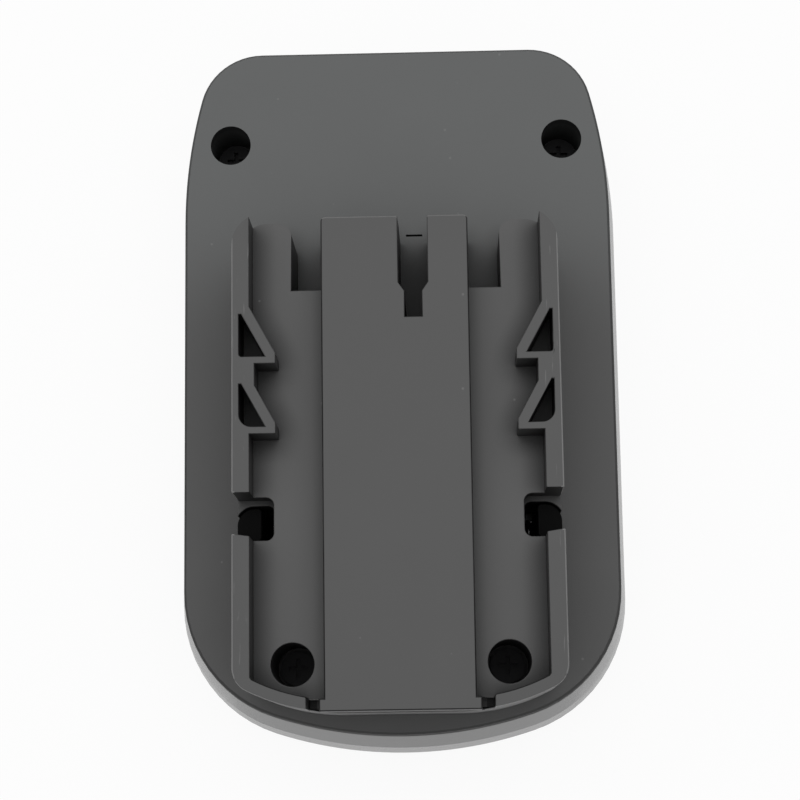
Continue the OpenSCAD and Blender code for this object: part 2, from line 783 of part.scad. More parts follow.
// Post with its catch, stem and release pad of the right latch
module latch() {
    post_back_y = window_back_y - slide_fit;
    post_front_y = window_front_y + slide_fit;
    corner = small_r / 2;
    corners = [window_ramp_r - slide_fit, corner, corner, corner / 2];
    difference() {
        union() {
            slab(round_box(latch_in_x, latch_out_x, post_front_y, post_back_y, corners),
                slide_low_z, latch_top_z);
            slab([[latch_in_x, post_front_y + corner], [nose_out_x, post_front_y + corner],
                [nose_out_x, nose_ramp_y], [latch_out_x - fit, latch_y], [latch_in_x, latch_y]],
                nose_low_z, nose_high_z);
            block([latch_in_x, latch_y - stem_l / 2, slide_low_z],
                [wing_out_x, latch_y + stem_l / 2, slide_high_z]);
            block([wing_in_x, latch_y - wing_l / 2, wing_low_z],
                [wing_out_x, latch_y + wing_l / 2, slide_high_z]);
            release_pad();
        }
        // Hollow in the stem behind the pad
        block([latch_out_x + wall, latch_y - stem_l / 2 + wall, slide_low_z - past],
            [wing_in_x, latch_y + stem_l / 2 - wall, slide_high_z - wall]);
    }
    translate([latch_in_x + past, latch_y, spring_z])
        rotate([0, -90, 0]) cylinder(d = peg_d, h = peg_l + past);
}

module right_latch() color(black_color) latch();

module left_latch() color(black_color) mirror([1, 0, 0]) latch();

// Points down the middle of the spring's wire
function spring_path() = let (rings = spring_turns * rings_per_curl, run = spring_len - spring_wire)
    [for (i = [0:rings]) let (a = 360 * i / rings_per_curl)
        [spring_in_x + spring_wire / 2 + run * i / rings, latch_y + (spring_d - spring_wire) / 2 * cos(a),
            spring_z + (spring_d - spring_wire) / 2 * sin(a)]];

// One unbroken wire of six sides along the path
module latch_spring() {
    path = spring_path();
    last = len(path) - 1;
    r = spring_wire / 2;
    points = [for (i = [0:last]) let (a = 360 * i / rings_per_curl, out = [0, cos(a), sin(a)])
        for (k = [0:wire_sides - 1]) let (b = 360 * k / wire_sides)
            path[i] + r * (cos(b) * out + sin(b) * [1, 0, 0])];
    sides = [for (i = [0:last - 1], k = [0:wire_sides - 1])
        let (n = (k + 1) % wire_sides, a = i * wire_sides, b = a + wire_sides)
            each [[a + k, b + k, b + n], [a + k, b + n, a + n]]];
    end = last * wire_sides;
    first_cap = [for (k = [1:wire_sides - 2]) [0, k, k + 1]];
    last_cap = [for (k = [1:wire_sides - 2]) [end, end + k + 1, end + k]];
    polyhedron(points, concat(sides, first_cap, last_cap));
}

// Least gap between one curl and another
function spring_gap() = let (path = spring_path(), last = len(path) - 1, half = rings_per_curl / 2)
    min([for (i = [0:last - half], j = [i + half:last]) norm(path[i] - path[j])]) - spring_wire;
echo(spring_gap = spring_gap());

module right_latch_spring() color(steel_color) latch_spring();

module left_latch_spring() color(steel_color) mirror([1, 0, 0]) latch_spring();

module case_screws() color(steel_color) {
    at_front_wells() translate([0, 0, front_seat_z]) screw(screw_d, screw_len, screw_head_d, head_h);
    at_back_wells() translate([0, 0, back_seat_z]) screw(screw_d, screw_len, screw_head_d, head_h);
}

module tongue_screws() color(steel_color) {
    at_tongue_screws()
        translate([0, 0, floor_under_z])
            mirror([0, 0, 1]) screw(small_d, floor_t + rail_h - 2 * wall, small_head_d, small_head_h);
}

module board_screws() color(steel_color) {
    at_board_holes()
        translate([0, 0, board_top_z]) screw(small_d, board_t + small_grip, small_head_d, small_head_h);
}

module block_screws() color(steel_color) {
    at_block_screws()
        translate([0, 0, deck_z]) screw(small_d, wall + small_grip, small_head_d, small_head_h);
}

// Fork of two bowed springs that grips a blade, open to the back
module fork(x, base_y, tip_y, w) {
    pinch_y = tip_y - fork_flare_l;
    right = [[w / 2, base_y - fork_t], [w / 2, base_y + w / 2], [fork_pinch + fork_t, pinch_y],
        [fork_mouth + fork_t, tip_y], [fork_mouth, tip_y], [fork_pinch, pinch_y],
        [w / 2 - fork_t, base_y + w / 2], [w / 2 - fork_t, base_y]];
    left = [for (i = [len(right) - 1:-1:0]) [-right[i].x, right[i].y]];
    translate([x, 0, board_top_z])
        linear_extrude(fork_h)
            polygon(concat(right, left));
}

module positive_contact() color(copper_color)
    fork(pocket_mid_x, power_fork_base_y, power_fork_tip_y, power_fork_w);

module negative_contact() color(copper_color)
    fork(-pocket_mid_x, power_fork_base_y, power_fork_tip_y, power_fork_w);

module signal_contact() color(copper_color)
    fork(slot_x, signal_fork_base_y, signal_fork_tip_y, signal_fork_w);

module circuit_board() color([0.05, 0.30, 0.16]) {
    difference() {
        block([-board_w / 2, board_front_y, board_low_z], [board_w / 2, board_back_y, board_top_z]);
        at_board_holes() cylinder(d = small_hole_d, h = top_z);
    }
}

module power_transistor() color(black_color) {
    translate([-board_w / 4, board_front_y + board_l / 4, board_top_z]) {
        cube(transistor_size);
        translate([(transistor_size.x - transistor_tab.x) / 2, transistor_size.y, 0]) cube(transistor_tab);
    }
}

module control_chip() color(black_color) {
    translate([past, board_front_y + board_l / 5, board_top_z]) {
        translate([0, 0, chip_lift]) cube(chip_size);
        for (i = [0:leg_pairs - 1])
            translate([leg_size.x + leg_pitch * i, (chip_size.y - leg_size.y) / 2, 0]) cube(leg_size);
    }
}

module smoothing_capacitor() color([0.12, 0.14, 0.22]) {
    translate([board_w / 3, board_front_y + board_l / 2 - can_d / 4, board_top_z])
        cylinder(d = can_d, h = can_h);
}

module fuse() color([0.85, 0.85, 0.80]) {
    translate([board_hole_inset - board_w / 2, board_front_y + board_l / 3, board_top_z]) cube(fuse_size);
}

module terminal_block() color(black_color) {
    difference() {
        block([-block_w / 2, block_front_y, block_low_z], [block_w / 2, block_back_y, block_high_z]);
        both_sides() {
            blade_cut(blade_x, tail_l);
            blade_cut(signal_x, signal_tail_l);
        }
        at_block_screws()
            translate([0, 0, slide_roof_z - small_grip - past]) cylinder(d = small_pilot_d, h = plate_z);
    }
}

// Room for a blade and its tail in the block
module blade_cut(x, len) {
    half = blade_t / 2 + fit / 2;
    back = blade_root_y + fit / 2;
    block([x - half, block_front_y - past, blade_low_z - fit / 2], [x + half, back, blade_high_z + fit / 2]);
    block([x - half, back - len - fit, blade_low_z], [x + half, back, slide_roof_z + past]);
}

// Flat blade with a chamfered tip and a tail that rises through the roof
module blade(x, tip_y, len) {
    tail_y = blade_root_y - len;
    translate([x - blade_t / 2, 0, 0])
        rotate([90, 0, 90])
            linear_extrude(blade_t)
                polygon([[tip_y, blade_low_z + blade_chamfer], [tip_y + blade_chamfer, blade_low_z],
                    [blade_root_y, blade_low_z], [blade_root_y, tail_top_z], [tail_y, tail_top_z],
                    [tail_y, blade_high_z], [tip_y + blade_chamfer, blade_high_z],
                    [tip_y, blade_high_z - blade_chamfer]]);
}

module positive_blade() color(copper_color) blade(blade_x, blade_tip_y, tail_l);

module negative_blade() color(copper_color) blade(-blade_x, blade_tip_y, tail_l);

module signal_blades() color(copper_color) {
    both_sides() blade(signal_x, blade_tip_y + signal_set_back, signal_tail_l);
}

// Power lead from a blade's tail to a pad under the board
module power_lead() {
    tail_y = blade_root_y - tail_l;
    lead([[blade_x, tail_y, lead_z], [blade_x, lead_pad_y + lead_bend, lead_z],
        [blade_x, lead_pad_y, lead_z + lead_bend], [blade_x, lead_pad_y, board_low_z]], lead_d);
}

module positive_lead() color([0.70, 0.08, 0.06]) power_lead();

module negative_lead() color(black_color) mirror([1, 0, 0]) power_lead();

module signal_lead() color([0.85, 0.75, 0.20]) {
    tail_y = blade_root_y - signal_tail_l;
    lead([[signal_x, tail_y, lead_z], [signal_x, signal_pad_y + lead_bend, lead_z],
        [signal_x, signal_pad_y, lead_z + lead_bend], [signal_x, signal_pad_y, board_low_z]], signal_lead_d);
}

tool_side_shell();
battery_side_shell();
contact_tongue();
left_latch();
right_latch();
left_latch_spring();
right_latch_spring();
case_screws();
tongue_screws();
positive_contact();
negative_contact();
signal_contact();
circuit_board();
power_transistor();
control_chip();
smoothing_capacitor();
fuse();
board_screws();
terminal_block();
block_screws();
positive_blade();
negative_blade();
signal_blades();
positive_lead();
negative_lead();
signal_lead();
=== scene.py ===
import json
import math

import bmesh
import bpy
from mathutils import Matrix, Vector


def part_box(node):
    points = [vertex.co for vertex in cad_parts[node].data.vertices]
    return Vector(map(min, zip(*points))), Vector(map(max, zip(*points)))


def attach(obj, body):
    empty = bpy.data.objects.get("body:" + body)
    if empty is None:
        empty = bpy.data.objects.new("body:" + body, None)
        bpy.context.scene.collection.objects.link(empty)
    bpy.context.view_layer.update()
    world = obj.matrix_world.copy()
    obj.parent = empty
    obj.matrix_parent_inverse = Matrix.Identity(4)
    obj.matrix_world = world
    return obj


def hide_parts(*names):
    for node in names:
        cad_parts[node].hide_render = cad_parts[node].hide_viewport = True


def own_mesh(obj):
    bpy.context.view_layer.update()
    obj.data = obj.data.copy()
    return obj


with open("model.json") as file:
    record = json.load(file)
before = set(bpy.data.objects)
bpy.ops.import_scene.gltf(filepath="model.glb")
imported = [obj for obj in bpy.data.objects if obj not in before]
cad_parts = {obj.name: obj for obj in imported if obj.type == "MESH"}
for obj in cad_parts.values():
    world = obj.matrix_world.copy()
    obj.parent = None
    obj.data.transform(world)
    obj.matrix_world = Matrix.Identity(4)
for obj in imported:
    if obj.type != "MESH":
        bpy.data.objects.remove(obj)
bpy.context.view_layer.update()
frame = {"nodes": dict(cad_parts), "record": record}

scene = bpy.context.scene
nodes = frame["nodes"]


class Paint:
    # one socket of a finish; arithmetic on it adds Math nodes
    def __init__(self, tree, socket=None):
        self.tree = tree
        self.socket = socket

    def add(self, kind, settings=None, inputs=None, output=0):
        node = self.tree.nodes.new("ShaderNode" + kind)
        for name, value in (settings or {}).items():
            if name == "stops":
                self.setStops(node.color_ramp, value)
            else:
                setattr(node, name, value)
        for name, value in (inputs or {}).items():
            if isinstance(value, Paint):
                self.tree.links.new(value.socket, node.inputs[name])
            else:
                node.inputs[name].default_value = value
        return Paint(self.tree, node.outputs[output] if len(node.outputs) else None)

    def setStops(self, ramp, stops):
        while len(ramp.elements) < len(stops):
            ramp.elements.new(1)
        for element, (place, shade) in zip(ramp.elements, stops):
            element.position = place
            element.color = (shade, shade, shade, 1)

    def maths(self, operation, first, second):
        return self.add("Math", {"operation": operation}, {0: first, 1: second})

    def blend(self, share, colour, shade):
        # mixes a grey of the given shade into a colour
        return self.add("Mix", {"data_type": "RGBA"}, {"Factor": share, 6: colour, 7: grey(shade)}, 2)

    def __add__(self, other):
        return self.maths("ADD", self, other)

    def __radd__(self, other):
        return self.maths("ADD", other, self)

    def __sub__(self, other):
        return self.maths("SUBTRACT", self, other)

    def __rsub__(self, other):
        return self.maths("SUBTRACT", other, self)

    def __mul__(self, other):
        return self.maths("MULTIPLY", self, other)

    def __rmul__(self, other):
        return self.maths("MULTIPLY", other, self)

    def __gt__(self, other):
        return self.maths("GREATER_THAN", self, other)

    def __lt__(self, other):
        return self.maths("LESS_THAN", self, other)


def newFinish(name):
    material = bpy.data.materials.new(name)
    material.use_nodes = True
    material.node_tree.nodes.clear()
    return material, Paint(material.node_tree)


def closeFinish(paint, shader):
    paint.add("OutputMaterial", None, {"Surface": shader})


def grey(value):
    return (value, value, value, 1)


# the moulded shells: satin grey plastic with a fine sparked grain and a little dust, with painted shade and
# painted light by place and by facing
shellLooks = {
    "toolShell": {
        "colour": 0.084, "upright": 0.6, "mottle": 0.10, "mottleSize": 0.012,
        "cornerReach": 0.0046, "cornerPower": 1.8, "cornerShade": 0.10,
        "cornerHalf": 0.0293, "cornerAbove": 0.0300, "cornerBehind": 0.0,
        "backLight": 0.34, "backLightFrom": 0.004, "backLightTo": 0.036, "backLightBelow": 0.0270, "backTint": 0.03,
        "channelLight": 0.17, "channelLightAbove": 0.0420, "channelLightBelow": 0.0432,
        "hollow": 0.4, "slotShade": 0.5, "notchLift": 0.9, "plateEdgeShade": 0.42, "scuffs": 0.4, "railEndShade": 0.65,
        "roughness": 0.50, "roughnessWander": 0.06, "specular": 0.3,
        "grainSize": 0.00022, "grainDepth": 0.000012,
        "speckSize": 0.0060, "speckWidth": 0.05, "speckShade": 0.22,
    },
    "batteryShell": {
        "colour": 0.110, "upright": 0.9, "mottle": 0.10, "mottleSize": 0.012,
        "cornerReach": 0.004, "cornerPower": 1.0, "cornerShade": 0.4,
        "cornerHalf": 1.0, "cornerAbove": 0.0, "cornerBehind": 0.0,
        "backLight": 0.0, "backLightFrom": 0.004, "backLightTo": 0.036, "backLightBelow": 0.0, "backTint": 0.0,
        "channelLight": 0.0, "channelLightAbove": 0.0, "channelLightBelow": 0.0,
        "hollow": 0.0, "slotShade": 0.0, "notchLift": 0.0, "plateEdgeShade": 0.0, "scuffs": 0.0, "railEndShade": 0.0,
        "roughness": 0.26, "roughnessWander": 0.05, "specular": 0.7,
        "grainSize": 0.00022, "grainDepth": 0.000006,
        "speckSize": 0.0060, "speckWidth": 0.05, "speckShade": 0.16,
    },
}
# painted shade at the screw wells and the slot, and the notches beside the tongue, which are spared most of
# the painted corner shade, in metres
wellPlaces = {
    "back": {"middle": (0.03175, 0.04715), "top": 0.0255},
    "front": {"middle": (0.01915, -0.0531), "top": 0.0420},
}
wellReach = 0.0040
slotPlace = {"middle": 0.00325, "half": 0.0028, "mouth": 0.0290, "deep": 0.0215, "top": 0.0420}
notchPlace = {"half": 0.0150, "front": -0.0570, "top": 0.0424}
# painted shade on the plate's bevelled outer edge and on the rails' ends at the latch windows
plateEdgePlace = {"low": 0.0236, "high": 0.0259}
railEndPlace = {"inside": 0.0216, "front": -0.0248, "back": -0.0226, "above": 0.0300, "facing": -0.3}
# the rails' tops are scuffed along their length
scuffLook = {"above": 0.0500, "inside": 0.0245, "shade": 0.24, "wide": 0.0005, "long": 0.006,
             "from": 0.66, "to": 0.74}
# painted highlights on the bevelled edges of the shoe's outside and front, and painted shade on the rim's
# inner edge
shoeSideHighlight = {"shade": 0.19, "outside": 0.0286, "lowest": 0.0415}
shoeFrontHighlight = {"shade": 0.23, "front": -0.0560, "middle": 0.0146, "lowest": 0.0415, "facing": -0.2}
rimEdgeShade = {"shade": 0.008, "inside": 0.0258, "front": -0.0480, "lowest": 0.0460, "facing": 0.1}
# edges of the tongue's cap: painted shade along the sides and the front, a painted highlight at the back
tongueSideShade = {"shade": 0.010, "side": 0.0127, "front": -0.0611}
tongueBackHighlight = {"shade": 0.15, "back": 0.0257}
# how unevenly the painted edge highlights and shade are spread, and how much of the specks and the grain
# shows
edgeSpreadAndGrain = {"least": 0.4, "wander": 1.2, "specks": 0.35, "grain": 0.02}


def size(value):
    return value.maths("ABSOLUTE", value, 0.0)


def larger(first, second):
    return first.maths("MAXIMUM", first, second)


def facing(paint, axis):
    return paint.add("SeparateXYZ", None, {"Vector": paint.add("NewGeometry", None, None, "Normal")}, axis)


def between(value, low, high):
    return (value > low) * (value < high)


def shoeSideHighlightMask(paint, where, look):
    return (size(where[0]) > look["outside"]) * (where[2] > look["lowest"])


def shoeFrontHighlightMask(paint, where, look):
    front = (where[1] < look["front"]) * (facing(paint, "Y") < look["facing"])
    return front * (size(where[0]) > look["middle"]) * (where[2] > look["lowest"])


def rimShadeMask(paint, where, look):
    front = (where[1] < look["front"]) * (facing(paint, "Y") > look["facing"])
    return (size(where[0]) < look["inside"]) * front * (where[2] > look["lowest"])


def tongueSideShadeMask(paint, where, look):
    return larger(size(where[0]) > look["side"], where[1] < look["front"])


def tongueBackHighlightMask(paint, where, look):
    return where[1] > look["back"]


def wellMask(where, well):
    across = size(where[0]) - well["middle"][0]
    along = where[1] - well["middle"][1]
    return (across * across + along * along < wellReach ** 2) * (where[2] < well["top"])


def slotMask(paint, where):
    inside = size(where[0] - slotPlace["middle"]) < slotPlace["half"]
    deep = paint.add("MapRange", None, {"Value": where[1], "From Min": slotPlace["mouth"],
                                        "From Max": slotPlace["deep"]})
    return inside * (where[2] < slotPlace["top"]) * deep * (where[1] > 0.0)


def notchMask(where):
    inside = (size(where[0]) < notchPlace["half"]) * (where[1] < notchPlace["front"])
    return inside * (where[2] < notchPlace["top"])


def scuffMask(paint, place, where):
    stretch = (1 / scuffLook["wide"], 1 / scuffLook["long"], 1.0)
    turned = paint.add("Mapping", None, {"Vector": place, "Scale": stretch})
    lines = paint.add("TexNoise", None, {"Vector": turned, "Scale": 1.0, "Detail": 3.0})
    marks = paint.add("MapRange", None, {"Value": lines, "From Min": scuffLook["from"],
                                         "From Max": scuffLook["to"]})
    return marks * (size(where[0]) > scuffLook["inside"]) * (where[2] > scuffLook["above"])


def railEndMask(paint, where):
    along = between(where[1], railEndPlace["front"], railEndPlace["back"])
    inside = (size(where[0]) > railEndPlace["inside"]) * (where[2] > railEndPlace["above"])
    return inside * along * (facing(paint, "Y") < railEndPlace["facing"])


def satinPlastic(name, look, marks=()):
    material, paint = newFinish(name)
    place = paint.add("TexCoord", None, None, "Object")
    mottle = paint.add("TexNoise", None, {"Vector": place, "Scale": 1 / look["mottleSize"], "Detail": 4.0})
    grain = paint.add("TexNoise", None, {"Vector": place, "Scale": 1 / look["grainSize"], "Detail": 2.0})
    specks = paint.add("TexVoronoi", None, {"Vector": place, "Scale": 1 / look["speckSize"]})
    speckMask = paint.add("ValToRGB", {"stops": [(look["speckWidth"] / 2, 1), (look["speckWidth"], 0)]},
                          {"Fac": specks})
    # painted shade: upright faces are darker than faces that look up
    level = paint.maths("MAXIMUM", facing(paint, "Z"), 0.0)
    paintedShade = look["upright"] + (1 - look["upright"]) * level
    # painted shade in corners and recesses from an ambient occlusion node, for the tool shell only inside
    # the shoe; on the tool shell the notches beside the tongue are spared most of it
    where = [paint.add("SeparateXYZ", None, {"Vector": place}, axis) for axis in "XYZ"]
    inShoe = size(where[0]) < look["cornerHalf"]
    inShoe = inShoe * larger(where[2] > look["cornerAbove"], where[1] > look["cornerBehind"])
    corner = paint.add("AmbientOcclusion", {"samples": 12}, {"Distance": look["cornerReach"]}, "AO")
    shadeShare = (1 - paint.maths("POWER", corner, look["cornerPower"])) * inShoe
    shadeShare = shadeShare * (1 - look["notchLift"] * notchMask(where))
    paintedShade = paintedShade * (1 - (1 - look["cornerShade"]) * shadeShare)
    # painted light: the back of the plate is paler, with a slightly cooler tint
    backLit = paint.add("MapRange", {"interpolation_type": "SMOOTHSTEP"},
                      {"Value": where[1], "From Min": look["backLightFrom"], "From Max": look["backLightTo"]})
    backLit = backLit * (where[2] < look["backLightBelow"])
    shade = look["colour"] * paintedShade
    shade = shade * (1 - look["mottle"] / 2 + look["mottle"] * mottle + edgeSpreadAndGrain["grain"] * grain)
    # painted light: the channel floors are paler
    channelLight = between(where[2], look["channelLightAbove"], look["channelLightBelow"]) * level
    shade = shade * (1 + look["backLight"] * backLit) * (1 + look["channelLight"] * channelLight)
    # painted shade: the screw wells and the slot are darker
    hollows = larger(wellMask(where, wellPlaces["back"]), wellMask(where, wellPlaces["front"]))
    shade = shade * (1 - look["hollow"] * hollows) * (1 - look["slotShade"] * slotMask(paint, where))
    # painted shade on the plate's bevelled outer edge and on the rails' ends at the latch windows
    plateEdgeShade = between(where[2], plateEdgePlace["low"], plateEdgePlace["high"])
    shade = shade * (1 - look["railEndShade"] * railEndMask(paint, where)) * (1 - look["plateEdgeShade"] * plateEdgeShade)
    cooler = shade * (1 - look["backTint"] * backLit)
    tone = paint.add("CombineColor", None, {"Red": cooler, "Green": shade, "Blue": shade})
    tone = paint.blend(edgeSpreadAndGrain["specks"] * speckMask, tone, look["speckShade"])
    tone = paint.blend(look["scuffs"] * scuffMask(paint, place, where), tone, scuffLook["shade"])
    # painted highlights and painted shade on the bevelled edges, spread unevenly
    for markMask, mark in marks:
        edgeLightShare = markMask(paint, where, mark) * (edgeSpreadAndGrain["least"] + edgeSpreadAndGrain["wander"] * mottle)
        tone = paint.blend(edgeLightShare, tone, mark["shade"])
    rough = look["roughness"] + look["roughnessWander"] * (mottle - 0.5)
    bump = paint.add("Bump", None, {"Height": grain, "Distance": look["grainDepth"], "Strength": 1.0})
    shader = paint.add("BsdfPrincipled", None, {"Base Color": tone, "Roughness": rough, "Normal": bump,
                                                "Specular IOR Level": look["specular"]})
    closeFinish(paint, shader)
    return material


# the latches and the terminal block: smooth black plastic
blackLook = {"colour": 0.003, "least": 0.8, "wander": 0.4, "wanderSize": 0.006,
             "roughness": 0.6, "roughnessWander": 0.12, "specular": 0.04}


def blackPlastic(name, look):
    material, paint = newFinish(name)
    place = paint.add("TexCoord", None, None, "Object")
    wander = paint.add("TexNoise", None, {"Vector": place, "Scale": 1 / look["wanderSize"], "Detail": 5.0})
    shade = look["colour"] * (look["least"] + look["wander"] * wander)
    tone = paint.add("CombineColor", None, {"Red": shade, "Green": shade, "Blue": shade})
    rough = look["roughness"] + look["roughnessWander"] * (wander - 0.5)
    closeFinish(paint, paint.add("BsdfPrincipled", None, {"Base Color": tone, "Roughness": rough,
                                                          "Specular IOR Level": look["specular"]}))
    return material


# screws, springs, contacts and blades, with fine dull streaks
streakLook = {"scale": 2500.0, "roughness": 0.16, "share": 0.3, "shade": 0.02}
metalLooks = {
    "screwMetal": {"colour": (0.020, 0.020, 0.021, 1), "metallic": 0.8, "roughness": 0.6},
    "springMetal": {"colour": (0.55, 0.55, 0.56, 1), "metallic": 1.0, "roughness": 0.28},
    "contactMetal": {"colour": (0.72, 0.52, 0.30, 1), "metallic": 1.0, "roughness": 0.30},
}


def bareMetal(name, look):
    material, paint = newFinish(name)
    place = paint.add("TexCoord", None, None, "Object")
    streaks = paint.add("TexNoise", None, {"Vector": place, "Scale": streakLook["scale"], "Detail": 3.0})
    rough = look["roughness"] + streakLook["roughness"] * (streaks - 0.5)
    tone = paint.blend(streakLook["share"] * streaks, look["colour"], streakLook["shade"])
    closeFinish(paint, paint.add("BsdfPrincipled", None,
                                 {"Base Color": tone, "Roughness": rough, "Metallic": look["metallic"]}))
    return material


# the board, its parts and the leads, a little uneven
unevenLook = {"scale": 700.0, "roughness": 0.15, "share": 0.25, "shade": 0.02}
smallLooks = {
    "boardMask": {"colour": (0.02, 0.14, 0.06, 1), "roughness": 0.3},
    "chipCase": {"colour": (0.015, 0.015, 0.016, 1), "roughness": 0.5},
    "sleeve": {"colour": (0.03, 0.035, 0.09, 1), "roughness": 0.3},
    "fuseBody": {"colour": (0.70, 0.69, 0.62, 1), "roughness": 0.5},
    "redLead": {"colour": (0.45, 0.02, 0.015, 1), "roughness": 0.45},
    "blackLead": {"colour": (0.012, 0.012, 0.012, 1), "roughness": 0.45},
    "yellowLead": {"colour": (0.60, 0.42, 0.03, 1), "roughness": 0.45},
}


def smallPart(name, look):
    material, paint = newFinish(name)
    place = paint.add("TexCoord", None, None, "Object")
    wander = paint.add("TexNoise", None, {"Vector": place, "Scale": unevenLook["scale"], "Detail": 4.0})
    tone = paint.blend(unevenLook["share"] * wander, look["colour"], unevenLook["shade"])
    rough = look["roughness"] + unevenLook["roughness"] * (wander - 0.5)
    closeFinish(paint, paint.add("BsdfPrincipled", None, {"Base Color": tone, "Roughness": rough}))
    return material


finishes = {"latch": blackPlastic("latchPlastic", blackLook)}
for name, look in shellLooks.items():
    finishes[name] = satinPlastic(name, look)
# the bevels' finishes: painted highlights and painted shade along the shoe's and the tongue's edges
shoeMarks = [(shoeSideHighlightMask, shoeSideHighlight), (shoeFrontHighlightMask, shoeFrontHighlight), (rimShadeMask, rimEdgeShade)]
tongueMarks = [(tongueSideShadeMask, tongueSideShade), (tongueBackHighlightMask, tongueBackHighlight)]
finishes["shoeEdgeLightAndShade"] = satinPlastic("shoeEdgeLightAndShade", shellLooks["toolShell"], shoeMarks)
finishes["tongueEdgeLightAndShade"] = satinPlastic("tongueEdgeLightAndShade", shellLooks["toolShell"], tongueMarks)
edgeFinish = {"tool_side_shell": "shoeEdgeLightAndShade", "contact_tongue": "tongueEdgeLightAndShade"}
for name, look in metalLooks.items():
    finishes[name] = bareMetal(name, look)
for name, look in smallLooks.items():
    finishes[name] = smallPart(name, look)
slotFinish = {
    "shell": "toolShell", "latch": "latch", "spring_steel": "springMetal", "screw_steel": "screwMetal",
    "contact_metal": "contactMetal", "board": "boardMask", "chip": "chipCase", "capacitor": "sleeve",
    "fuse": "fuseBody", "red_lead": "redLead", "black_lead": "blackLead", "yellow_lead": "yellowLead",
}
for part in frame["record"]["subparts"]:
    node = nodes[part["node"]]
    finish = slotFinish[part["material_slot"]]
    if part["node"] == "battery_side_shell":
        finish = "batteryShell"
    node.data.materials.clear()
    node.data.materials.append(finishes[finish])
    if part["node"] in edgeFinish:
        node.data.materials.append(finishes[edgeFinish[part["node"]]])
print("finishes:", len(finishes))


# moulded edges: sharp outer edges above the lowest height and in front of the back get a fine bevel
edgeLook = {
    "tool_side_shell": {"width": 0.00022, "lowest": 0.0262, "back": 0.0215},
    "battery_side_shell": {"width": 0.00030, "lowest": -0.001, "back": 1.0},
    "contact_tongue": {"width": 0.00024, "lowest": 0.0480, "back": 1.0},
    "left_latch": {"width": 0.00020, "lowest": 0.0, "back": 1.0},
    "right_latch": {"width": 0.00020, "lowest": 0.0, "back": 1.0},
    "terminal_block": {"width": 0.00025, "lowest": 0.0, "back": 1.0},
}
edgeSetup = {
    "sharpAngle": math.radians(28), "closeAngle": math.radians(7.5), "flatAngle": math.radians(0.5),
    "weldReach": 1e-6, "bevelSegments": 3,
}


def newGroup(name):
    group = bpy.data.node_groups.new(name, "GeometryNodeTree")
    for side in ("INPUT", "OUTPUT"):
        group.interface.new_socket("Mesh", in_out=side, socket_type="NodeSocketGeometry")
    return group, group.nodes.new("NodeGroupInput"), group.nodes.new("NodeGroupOutput")


def compared(group, value, operation, limit):
    test = group.nodes.new("FunctionNodeCompare")
    test.operation = operation
    test.inputs[1].default_value = limit
    group.links.new(value, test.inputs[0])
    return test.outputs[0]


def together(group, first, second):
    both = group.nodes.new("FunctionNodeBooleanMath")
    group.links.new(first, both.inputs[0])
    group.links.new(second, both.inputs[1])
    return both.outputs[0]


def roundedGroup(lowest, back):
    # gives the sharp outer edges inside these limits the weight that the bevel asks for
    group, start, end = newGroup("roundedEdges")
    angle = group.nodes.new("GeometryNodeInputMeshEdgeAngle")
    place = group.nodes.new("GeometryNodeInputPosition")
    split = group.nodes.new("ShaderNodeSeparateXYZ")
    group.links.new(place.outputs[0], split.inputs[0])
    sharp = compared(group, angle.outputs["Signed Angle"], "GREATER_THAN", edgeSetup["sharpAngle"])
    high = compared(group, split.outputs["Z"], "GREATER_THAN", lowest)
    ahead = compared(group, split.outputs["Y"], "LESS_THAN", back)
    store = group.nodes.new("GeometryNodeStoreNamedAttribute")
    store.data_type = "FLOAT"
    store.domain = "EDGE"
    store.inputs["Name"].default_value = "bevel_weight_edge"
    group.links.new(start.outputs[0], store.inputs["Geometry"])
    group.links.new(together(group, sharp, together(group, high, ahead)), store.inputs["Value"])
    group.links.new(store.outputs[0], end.inputs[0])
    return group


def smoothingGroup(limit):
    group, start, end = newGroup("smoothByAngle")
    angle = group.nodes.new("GeometryNodeInputMeshEdgeAngle")
    faces = group.nodes.new("GeometryNodeSetShadeSmooth")
    edges = group.nodes.new("GeometryNodeSetShadeSmooth")
    edges.domain = "EDGE"
    edges.inputs["Shade Smooth"].default_value = False
    group.links.new(start.outputs[0], faces.inputs["Geometry"])
    group.links.new(faces.outputs[0], edges.inputs["Geometry"])
    group.links.new(compared(group, angle.outputs[0], "GREATER_THAN", limit), edges.inputs["Selection"])
    group.links.new(edges.outputs[0], end.inputs[0])
    return group


smoothing = smoothingGroup(edgeSetup["sharpAngle"])
closeSmoothing = smoothingGroup(edgeSetup["closeAngle"])


def softenEdges(node, look, group):
    weld = node.modifiers.new("weld", "WELD")
    weld.merge_threshold = edgeSetup["weldReach"]
    flat = node.modifiers.new("flat", "DECIMATE")
    flat.decimate_type = "DISSOLVE"
    flat.angle_limit = edgeSetup["flatAngle"]
    if look:
        rounded = node.modifiers.new("rounded", "NODES")
        rounded.node_group = roundedGroup(look["lowest"], look["back"])
        bevel = node.modifiers.new("bevel", "BEVEL")
        bevel.material = len(node.data.materials) - 1
        bevel.width = look["width"]
        bevel.segments = edgeSetup["bevelSegments"]
        bevel.limit_method = "WEIGHT"
        bevel.use_clamp_overlap = False
        bevel.miter_outer = "MITER_ARC"
    smooth = node.modifiers.new("smooth", "NODES")
    smooth.node_group = group
    normals = node.modifiers.new("normals", "WEIGHTED_NORMAL")
    normals.keep_sharp = True


for name, node in nodes.items():
    softenEdges(node, edgeLook.get(name), closeSmoothing if name == "battery_side_shell" else smoothing)
print("edges softened on", len(edgeLook), "nodes")


